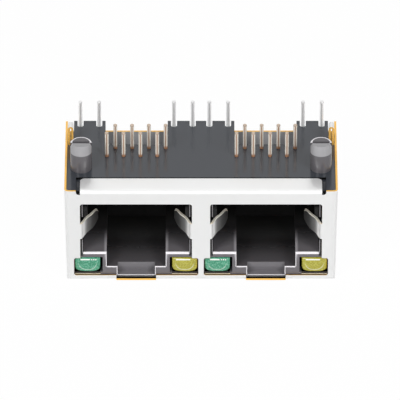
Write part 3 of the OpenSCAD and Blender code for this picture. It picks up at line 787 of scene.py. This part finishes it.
# Lamps
# A tinted block of clear resin in each lower corner of a port, green on the left and yellow on
# the right. Its front is domed and its resin is full of fine specks.
LAMP_COLOURS = {
    "green": ((0.024, 0.235, 0.125), (0.11, 0.39, 0.255)),
    "yellow": ((0.33, 0.3, 0.012), (0.45, 0.42, 0.05))}
# Middles and half lengths of the painted glints along the upper edge, from the lamp's own middle
GLINTS = {
    "green": ((0.3, 0.6), (-0.5, 0.095), (-0.75, 0.095), (-1.0, 0.095)),
    "yellow": ((-0.2, 0.9),)}
LENS_ROUND = 0.26
LENS_SWELL = 0.98
LENS_CURVE = 0.64
LENS_X = 5.9
LENS_TOP = 3.07
LENS_RING = (1.18, 1.66)
GLINT = (0.95, 0.97, 0.93)
GLINT_SOFT = 0.06
# A painted highlight arc low down in the lens
ARC_PATCHES = (
    (GLINT, 0.32, (("oval", 0.84, 0.98), ("oval", 1.14, 1.02), ("down", 0.5, 1.3), ("depth", 0.6, 0.4))),)


def lens_outline(half, height, inset):
    """Seen from the front: straight at the top, and swelling out below like a shallow bowl."""
    wide, deep, top = half - inset, LENS_SWELL - inset, height - inset
    points = [(wide, top), (-wide, top)]
    for step in range(25):
        turn = math.pi + math.pi * step / 24
        across, down = math.cos(turn), math.sin(turn)
        points.append((math.copysign(wide * abs(across) ** LENS_CURVE, across),
                       LENS_SWELL - deep * abs(down) ** LENS_CURVE))
    return points


def lens_piece(name, node):
    """A block with that outline, and with a rounded rim round its front face."""
    low, high = (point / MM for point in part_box(node))
    half, height = (high.x - low.x) / 2, high.z - low.z
    form = bmesh.new()
    rings = []
    for step in range(6):
        turn = math.radians(90 * (1 - step / 5))
        inset, depth = LENS_ROUND * (1 - math.sin(turn)), LENS_ROUND * math.cos(turn)
        place = low.y + LENS_ROUND - depth
        rings.append([(x, place, z) for x, z in lens_outline(half, height, inset)])
    rings.insert(0, [(x, high.y, z) for x, z in lens_outline(half, height, 0)])
    loops = []
    for ring in rings:
        loops.append([form.verts.new(((low.x + high.x) / 2 + x, y, low.z + z)) for x, y, z in ring])
    for back, front in zip(loops, loops[1:]):
        for i in range(len(back)):
            j = (i + 1) % len(back)
            form.faces.new((back[i], back[j], front[j], front[i]))
    form.faces.new(loops[-1])
    form.faces.new(loops[0][::-1])
    bmesh.ops.recalc_face_normals(form, faces=form.faces)
    mesh = bpy.data.meshes.new(name)
    form.to_mesh(mesh)
    form.free()
    mesh.polygons.foreach_set("use_smooth", [True] * len(mesh.polygons))
    mesh.set_sharp_from_angle(angle=math.radians(40))
    mesh.transform(Matrix.Scale(MM, 4))
    piece = bpy.data.objects.new(name, mesh)
    bpy.context.scene.collection.objects.link(piece)
    return piece


def raised(tree, value, size):
    """A rounded oval's term: how far a value is from zero, in its own size, to the power 2.6."""
    return combine(tree, "POWER", away_from(tree, combine(tree, "DIVIDE", value, size), 0), 2.6)


def tinted_resin(name, deep, light, glints):
    """Specks through the resin, a painted highlight arc low down where the dome meets its rim, and painted
    glints.
    """
    material, tree, bsdf = finish_material(name, deep)
    grain = add_grain(tree, bsdf, scale=7000, low=0.08, high=0.22, bump=0.45, bump_depth=0.00003)
    places = places_in_mm(tree)
    across = combine(tree, "SUBTRACT", places["beside"], LENS_X)
    down = combine(tree, "SUBTRACT", LENS_TOP, places["z"])
    wide, tall = LENS_RING
    places["oval"] = combine(tree, "ADD", raised(tree, across, wide), raised(tree, down, tall))
    places["across"], places["down"] = across, down
    patches = list(ARC_PATCHES)
    for middle, half in glints:
        start, end = middle - half, middle + half
        patches.append((GLINT, 1, (
            ("down", 0.14, 0.18), ("down", 0.31, 0.27), ("depth", 0.6, 0.4),
            ("across", start, start + GLINT_SOFT), ("across", end, end - GLINT_SOFT))))
    body = blend_colour(tree, ramp_between(tree, grain.outputs["Grain"], 0.46, 0.62), deep, light)
    tree.links.new(paint(tree, places, body, patches), bsdf.inputs["Base Color"])
    bsdf.inputs["Coat Weight"].default_value = 0.7
    bsdf.inputs["Coat Roughness"].default_value = 0.05
    return material


for colour, (deep, light) in LAMP_COLOURS.items():
    resin = tinted_resin(f"{colour}_resin", deep, light, GLINTS[colour])
    for port in ("left", "right"):
        lens = lens_piece(f"{port}_{colour}_lens", f"{port}_{colour}_lamp")
        lens.data.materials.append(resin)
        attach(lens, "root")
        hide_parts(f"{port}_{colour}_lamp")

# Lamp leads
# Two square tinned leads on each lamp. They run back under the ledge, bend up behind the port
# in a notch of the housing, and stand out of the board face.
LEAD_TIN = (1.0, 1.0, 1.0)
LEAD_CORE_REFLECTION = (0.52, 0.52, 0.52)
LEAD_END = (0.85, 0.85, 0.85)
LEAD_T = 0.46
LEAD_X = 4.57
LEAD_PITCH = 2.29
LEAD_START = 5.675
LEAD_Z = 2.07
LEAD_DEPTH = 14.85
LEAD_BEND = 0.6
LEAD_TIP = 16.29
LEAD_ROUND = 0.08
LEAD_TIP_WIDTH = 0.75
LEAD_CORNER = 0.19
# The white sides and grey middle of each lead are a painted reflection
LEAD_PATCHES = (
    (LEAD_TIN, 1, (("off_wire", 0.06, 0.13),)),
    (LEAD_END, 1, (("z", LEAD_TIP - 0.2, LEAD_TIP - 0.1),)))


def lead_metal():
    material, tree, bsdf = finish_material("tinned_lead", LEAD_TIN, metallic=0.15)
    add_grain(tree, bsdf, scale=1200, low=0.3, high=0.42, stretch=(4, 4, 1))
    places = places_in_mm(tree)
    places["off_wire"] = off_wire(tree, places, LEAD_X, LEAD_PITCH)
    tree.links.new(paint(tree, places, LEAD_CORE_REFLECTION, LEAD_PATCHES), bsdf.inputs["Base Color"])
    return material


LEAD_METAL = lead_metal()
lead_path = [(LEAD_START, LEAD_Z)]
lead_path += arc_points(LEAD_DEPTH - LEAD_BEND, LEAD_Z + LEAD_BEND, LEAD_BEND, -90, 90, 6)
lead_path += [(LEAD_DEPTH, LEAD_TIP - LEAD_ROUND), (LEAD_DEPTH, LEAD_TIP)]
for port in ("left", "right"):
    for colour in LAMP_COLOURS:
        nodes = [f"{port}_{colour}_{end}_lead" for end in ("inner", "outer")]
        first = min(sum(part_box(node)[i].x for i in (0, 1)) / 2 for node in nodes)
        leads = row_of_wires(
            f"{port}_{colour}_leads", first / MM, lead_path,
            **{"Width": LEAD_T, "Corner": LEAD_CORNER, "Pitch": LEAD_PITCH, "Tip Length": LEAD_ROUND,
               "Tip Width": LEAD_TIP_WIDTH, "Count": 2, "Material": LEAD_METAL})
        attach(leads, "root")
        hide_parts(*nodes)
